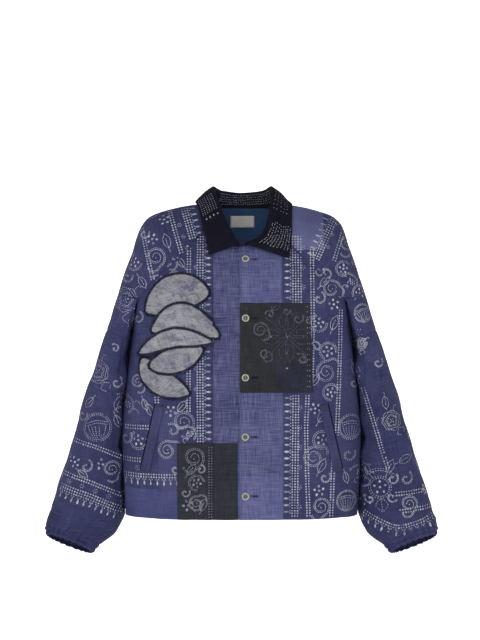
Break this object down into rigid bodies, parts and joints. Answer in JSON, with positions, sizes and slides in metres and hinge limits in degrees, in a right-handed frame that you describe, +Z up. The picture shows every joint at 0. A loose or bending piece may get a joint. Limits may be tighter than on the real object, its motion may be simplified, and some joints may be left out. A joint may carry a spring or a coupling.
{
  "type": "patched boro jacket",
  "caption": "Hollow worn raglan jacket of indigo patchwork: folded collar, buttoned front, slanted pocket welts, gathered cuffs.",
  "frame": {"origin": "middle of the shoulder line at the height where a wearer's shoulders carry the jacket", "axes": "+X to the wearer's left, +Y to the wearer's back, +Z up"},
  "size_m": [0.826, 0.2721, 0.7836],
  "materials": {
    "slub_blue": "faded slub cotton, matt",
    "printed_indigo": "indigo cotton with a pale dotted print, washed, matt",
    "cuff_indigo": "dark indigo cotton, gathered, matt",
    "charcoal": "faded charcoal cotton patch, matt",
    "grey_linen": "pale grey linen with violet stains, matt",
    "facing_blue": "plain teal-navy cotton, matt",
    "cream_label": "bare woven cream tape",
    "collar_navy": "near-black navy cotton with white stitches, matt",
    "cream_button": "worn cream plastic, olive-grey middle"
  },
  "bodies": {
    "root": {"front_left_centre": "slub_blue", "front_left_side": "printed_indigo", "front_right_centre": "slub_blue", "front_right_side": "printed_indigo", "back": "printed_indigo", "sleeve_left_upper": "printed_indigo", "sleeve_left_lower": "printed_indigo", "sleeve_right_upper": "printed_indigo", "sleeve_right_lower": "printed_indigo", "cuff_left": "cuff_indigo", "cuff_right": "cuff_indigo", "chest_patch": "charcoal", "hem_patch_plain": "charcoal", "hem_patch_printed": "charcoal", "pocket_welt_left": "slub_blue", "pocket_welt_right": "slub_blue", "applique_leaf_1": "grey_linen", "applique_leaf_2": "grey_linen", "applique_leaf_3": "grey_linen", "applique_leaf_4": "grey_linen", "applique_leaf_5": "grey_linen", "neck_facing": "facing_blue", "neck_label": "cream_label", "collar": "collar_navy", "button_1": "cream_button", "button_2": "cream_button", "button_3": "cream_button", "button_4": "cream_button", "button_5": "cream_button"}
  },
  "joints": []
}
